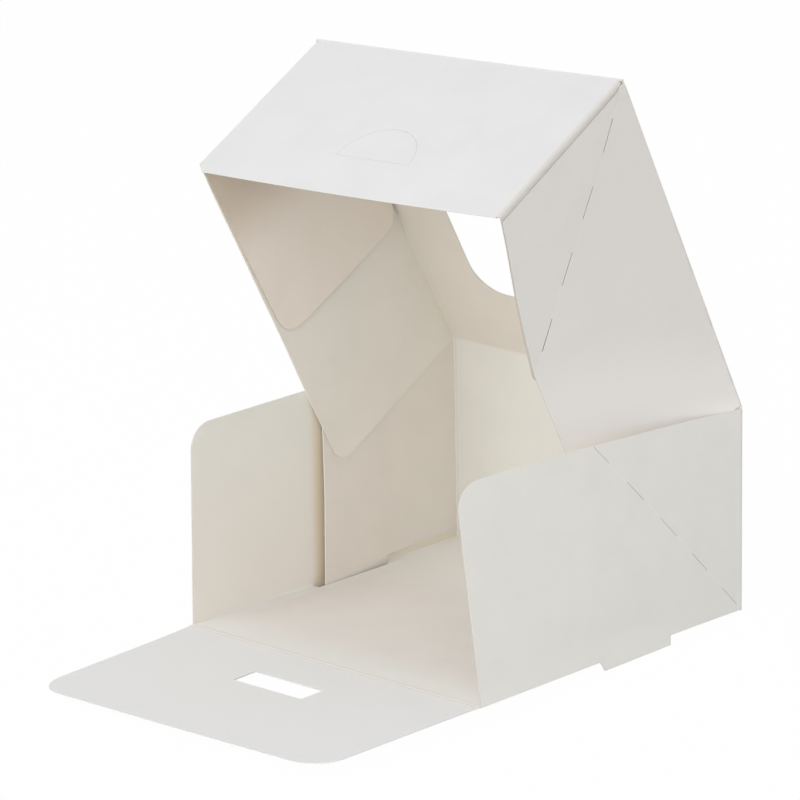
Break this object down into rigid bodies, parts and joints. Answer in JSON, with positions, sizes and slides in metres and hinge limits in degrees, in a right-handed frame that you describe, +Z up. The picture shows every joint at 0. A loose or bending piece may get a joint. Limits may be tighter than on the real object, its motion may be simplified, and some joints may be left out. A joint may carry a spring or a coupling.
{
  "type": "takeaway box",
  "caption": "Square folding card takeaway box with a windowed lid, side flaps, a lock tongue and a slotted front flap.",
  "frame": {"origin": "centre of the underside of the tray's floor, between the front fold and the back wall's outer face", "axes": "+X to the right as seen from the front, +Y from the front fold to the back wall, +Z up"},
  "size_m": [0.1402, 0.2187, 0.2046],
  "materials": {
    "card_tray": "uncoated white card",
    "card_lid": "uncoated white card",
    "card_flap": "uncoated white card",
    "card_tongue": "uncoated white card"
  },
  "bodies": {
    "tray": {"tray": "card_tray"},
    "lid": {"lid": "card_lid"},
    "front_flap": {"front_flap": "card_flap"},
    "lock_tongue": {"lock_tongue": "card_tongue"}
  },
  "joints": [
    {"name": "lid_hinge", "type": "hinge", "parent": "tray", "child": "lid", "pos_m": [0, 0.0708, 0.077], "axis": [-1, 0, 0], "range_deg": [-61.5, 57]},
    {"name": "flap_hinge", "type": "hinge", "parent": "tray", "child": "front_flap", "pos_m": [0, -0.071, 0.0002], "axis": [-1, 0, 0], "range_deg": [-1.5, 90.9]},
    {"name": "tongue_hinge", "type": "hinge", "parent": "lid", "child": "lock_tongue", "pos_m": [0, -0.04395, 0.17353], "axis": [1, 0, 0], "range_deg": [0, 60]}
  ]
}
